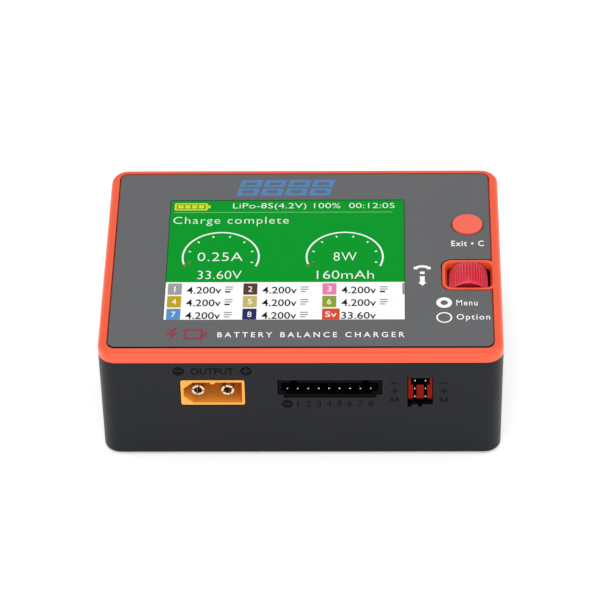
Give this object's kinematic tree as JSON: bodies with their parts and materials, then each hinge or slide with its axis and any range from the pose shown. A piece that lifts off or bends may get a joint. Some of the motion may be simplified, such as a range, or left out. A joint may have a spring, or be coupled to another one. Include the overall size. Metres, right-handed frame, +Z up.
{
  "type": "balance battery charger",
  "caption": "Compact two-part charger case with inset display panel, exit key, push-and-turn control wheel, power sockets front and back, balance socket and servo socket.",
  "frame": {"origin": "on the table under the middle of the case", "axes": "+X to the right of the display, +Y to the back, +Z up; the front with the sockets faces -Y"},
  "size_m": [0.0966, 0.0694, 0.0345],
  "materials": {
    "case": "fine satin texture",
    "cover": "satin",
    "panel": "satin",
    "display": "glossy, lit green and white screen behind it",
    "tray": "plain",
    "ribbon": "polyimide film",
    "key": "satin",
    "wheel": "anodised crimson, ribbed",
    "steel": "plain",
    "black_plastic": "satin",
    "amber_plastic": "amber nylon",
    "red_plastic": "orange-red nylon",
    "plating": "gold plated",
    "pin_metal": "tin plated",
    "circuit": "blue solder mask",
    "aluminium": "extruded",
    "ferrite": "powdered iron core",
    "sleeve": "capacitor sleeve",
    "rubber": "matt"
  },
  "bodies": {
    "charger_case": {"lower_case": "case", "top_cover": "cover", "face_panel": "panel", "case_screw_1": "steel", "case_screw_2": "steel", "case_screw_3": "steel", "case_screw_4": "steel", "rubber_foot_1": "rubber", "rubber_foot_2": "rubber", "rubber_foot_3": "rubber", "rubber_foot_4": "rubber", "display_glass": "display", "display_frame": "tray", "display_flex": "ribbon", "exit_switch": "black_plastic", "roller_switch": "black_plastic", "control_board": "circuit", "power_board": "circuit", "board_header": "black_plastic", "heat_sink": "aluminium", "power_inductor": "ferrite", "capacitor_1": "sleeve", "capacitor_2": "sleeve", "transistor_1": "black_plastic", "transistor_2": "black_plastic", "microcontroller": "black_plastic", "buzzer": "black_plastic", "fan_frame": "black_plastic", "fan_lead": "black_plastic", "output_socket": "amber_plastic", "input_socket": "amber_plastic", "output_pin_1": "plating", "output_pin_2": "plating", "input_pin_1": "plating", "input_pin_2": "plating", "balance_socket": "black_plastic", "balance_pin_1": "pin_metal", "balance_pin_2": "pin_metal", "balance_pin_3": "pin_metal", "balance_pin_4": "pin_metal", "balance_pin_5": "pin_metal", "balance_pin_6": "pin_metal", "balance_pin_7": "pin_metal", "balance_pin_8": "pin_metal", "balance_pin_9": "pin_metal", "servo_socket": "red_plastic", "servo_pin_1": "pin_metal", "servo_pin_2": "pin_metal", "servo_pin_3": "pin_metal", "servo_pin_4": "pin_metal", "servo_pin_5": "pin_metal", "servo_pin_6": "pin_metal"},
    "exit_key": {"exit_button": "key", "exit_switch_plunger": "steel"},
    "wheel_cradle": {"roller_cradle": "black_plastic", "roller_encoder": "black_plastic", "roller_switch_plunger": "steel"},
    "control_wheel": {"roller": "wheel", "roller_axle": "steel"},
    "fan_wheel": {"fan_rotor": "black_plastic"}
  },
  "joints": [
    {"name": "exit_key_press", "type": "slide", "parent": "charger_case", "child": "exit_key", "axis": [0, 0, -1], "range_m": [0, 0.0003], "stiffness_N_per_m": 800, "springref_m": -0.0003},
    {"name": "wheel_press", "type": "slide", "parent": "charger_case", "child": "wheel_cradle", "axis": [0, 0, -1], "range_m": [0, 0.0003], "stiffness_N_per_m": 1200, "springref_m": -0.0003},
    {"name": "wheel_turn", "type": "hinge", "parent": "wheel_cradle", "child": "control_wheel", "pos_m": [0.0403, -0.0065, 0.0296], "axis": [0, 1, 0], "continuous": true},
    {"name": "fan_spin", "type": "hinge", "parent": "charger_case", "child": "fan_wheel", "pos_m": [-0.024, 0.027, 0.015], "axis": [0, 1, 0], "continuous": true}
  ]
}
